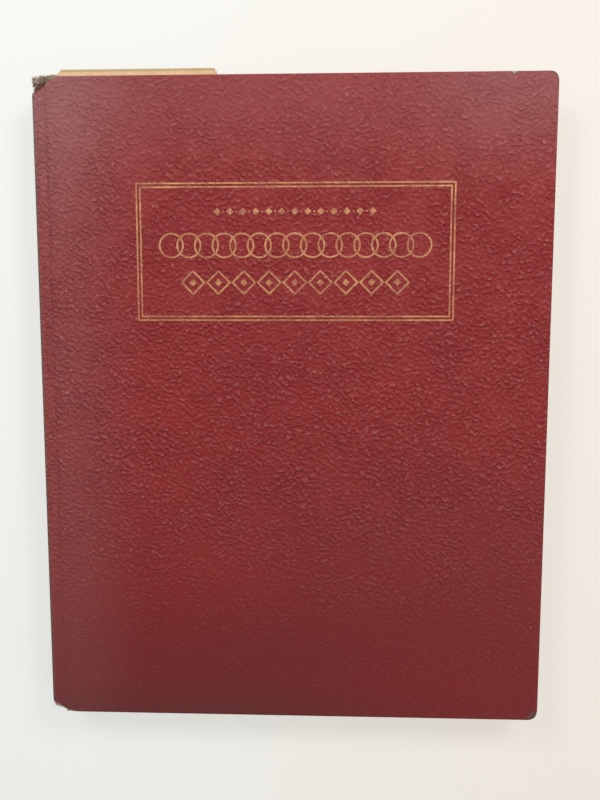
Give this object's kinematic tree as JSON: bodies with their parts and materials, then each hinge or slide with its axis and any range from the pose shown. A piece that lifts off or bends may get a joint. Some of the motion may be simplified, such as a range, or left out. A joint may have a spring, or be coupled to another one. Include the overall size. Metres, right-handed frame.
{
  "type": "stamp album",
  "caption": "Case-bound album with grained leatherette covers that open on pressed joints, a side-stitched block of guarded leaves and a small envelope tucked in at the head.",
  "frame": {"origin": "middle of the footprint, on the outer face of the back cover", "axes": "+X from the spine to the fore-edge, +Y from the tail to the head, +Z from the back cover to the front cover"},
  "size_m": [0.224, 0.2912, 0.021],
  "materials": {
    "leatherette": "satin",
    "binders_board": "matte",
    "mull": "matte",
    "endpaper": "matte",
    "gold_foil": "satin",
    "album_paper": "matte",
    "guard_paper": "matte",
    "staple_wire": "satin",
    "manila": "matte"
  },
  "bodies": {
    "text_block": {"spine_card": "binders_board", "spine_leatherette": "leatherette", "front_joint_leatherette": "leatherette", "back_joint_leatherette": "leatherette", "spine_lining": "album_paper", "spine_mull": "mull", "gripped_margins": "album_paper", "guard_strips": "guard_paper", "stitching_staples": "staple_wire", "leaf_section_3": "album_paper", "leaf_section_4": "album_paper", "leaf_section_5": "album_paper", "leaf_section_6": "album_paper", "leaf_section_7": "album_paper", "leaf_section_8": "album_paper", "back_flyleaf": "endpaper"},
    "front_cover": {"front_board": "binders_board", "front_leatherette": "leatherette", "front_mull_tab": "mull", "front_pastedown": "endpaper", "gilt_outer_rule": "gold_foil", "gilt_inner_rule": "gold_foil", "gilt_ornament": "gold_foil"},
    "back_cover": {"back_board": "binders_board", "back_leatherette": "leatherette", "back_mull_tab": "mull", "back_pastedown": "endpaper"},
    "front_flyleaf_body": {"front_flyleaf": "endpaper"},
    "title_leaf_body": {"title_leaf": "album_paper"},
    "album_leaf_1_body": {"album_leaf_1": "album_paper"},
    "album_leaf_2_body": {"album_leaf_2": "album_paper"},
    "album_leaf_3_body": {"album_leaf_3": "album_paper"},
    "leaf_section_1_body": {"leaf_section_1": "album_paper"},
    "leaf_section_2_body": {"leaf_section_2": "album_paper"},
    "envelope": {"stamp_envelope": "manila"}
  },
  "joints": [
    {"name": "front_cover_hinge", "type": "hinge", "parent": "text_block", "child": "front_cover", "pos_m": [-0.10918, 0, 0.01928], "axis": [0, -1, 0], "range_deg": [0, 180]},
    {"name": "back_cover_hinge", "type": "hinge", "parent": "text_block", "child": "back_cover", "pos_m": [-0.10918, 0, 0.00168], "axis": [0, -1, 0], "range_deg": [-180, 0]},
    {"name": "front_flyleaf_turn", "type": "hinge", "parent": "text_block", "child": "front_flyleaf_body", "pos_m": [-0.10918, 0, 0.01928], "axis": [0, -1, 0], "range_deg": [0, 172.9]},
    {"name": "title_leaf_turn", "type": "hinge", "parent": "text_block", "child": "title_leaf_body", "pos_m": [-0.10918, 0, 0.01928], "axis": [0, -1, 0], "range_deg": [0, 165.7]},
    {"name": "album_leaf_1_turn", "type": "hinge", "parent": "text_block", "child": "album_leaf_1_body", "pos_m": [-0.10918, 0, 0.01928], "axis": [0, -1, 0], "range_deg": [0, 156.7]},
    {"name": "album_leaf_2_turn", "type": "hinge", "parent": "text_block", "child": "album_leaf_2_body", "pos_m": [-0.10918, 0, 0.01928], "axis": [0, -1, 0], "range_deg": [0, 145.9]},
    {"name": "album_leaf_3_turn", "type": "hinge", "parent": "text_block", "child": "album_leaf_3_body", "pos_m": [-0.10918, 0, 0.01928], "axis": [0, -1, 0], "range_deg": [0, 131.5]},
    {"name": "leaf_section_1_turn", "type": "hinge", "parent": "text_block", "child": "leaf_section_1_body", "pos_m": [-0.10918, 0, 0.01928], "axis": [0, -1, 0], "range_deg": [0, 111.7]},
    {"name": "leaf_section_2_turn", "type": "hinge", "parent": "text_block", "child": "leaf_section_2_body", "pos_m": [-0.10918, 0, 0.01928], "axis": [0, -1, 0], "range_deg": [0, 82.9]},
    {"name": "envelope_slide", "type": "slide", "parent": "text_block", "child": "envelope", "axis": [0, 1, 0], "range_m": [0, 0.125]}
  ],
  "couplings": [
    {"joint": "front_flyleaf_turn", "follows": "front_cover_hinge", "ratio": 0.96},
    {"joint": "title_leaf_turn", "follows": "front_cover_hinge", "ratio": 0.92},
    {"joint": "album_leaf_1_turn", "follows": "front_cover_hinge", "ratio": 0.87},
    {"joint": "album_leaf_2_turn", "follows": "front_cover_hinge", "ratio": 0.81},
    {"joint": "album_leaf_3_turn", "follows": "front_cover_hinge", "ratio": 0.73},
    {"joint": "leaf_section_1_turn", "follows": "front_cover_hinge", "ratio": 0.62},
    {"joint": "leaf_section_2_turn", "follows": "front_cover_hinge", "ratio": 0.46}
  ]
}
